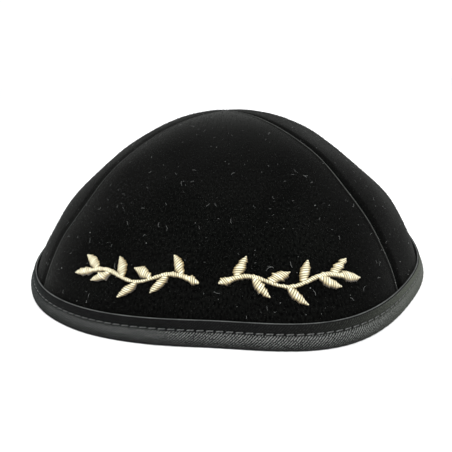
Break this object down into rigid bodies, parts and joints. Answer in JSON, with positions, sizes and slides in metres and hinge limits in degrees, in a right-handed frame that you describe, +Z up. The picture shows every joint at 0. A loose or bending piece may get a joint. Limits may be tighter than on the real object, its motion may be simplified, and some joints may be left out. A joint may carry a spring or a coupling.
{
  "type": "kippah skullcap",
  "caption": "Dome-shaped velvet skullcap sewn from gored panels, with a satin-bound rim and mirrored embroidered sprigs low on the front.",
  "frame": {"origin": "middle of the rim on the table, at the bottom centre of the bounding box", "axes": "+Z up through the top of the crown, the embroidered front faces -Y, +X to the right seen from the front"},
  "size_m": [0.1696, 0.1816, 0.062],
  "materials": {
    "velvet": "black cotton velvet, short upright pile that shines at grazing angles",
    "satin_binding": "black satin tape with a fine twill, soft sheen",
    "embroidery_thread": "cream-gold rayon thread in satin stitch, silky sheen"
  },
  "bodies": {
    "root": {"panel_front": "velvet", "panel_right": "velvet", "panel_back": "velvet", "panel_left": "velvet", "rim_binding": "satin_binding", "embroidery_left": "embroidery_thread", "embroidery_right": "embroidery_thread"}
  },
  "joints": []
}
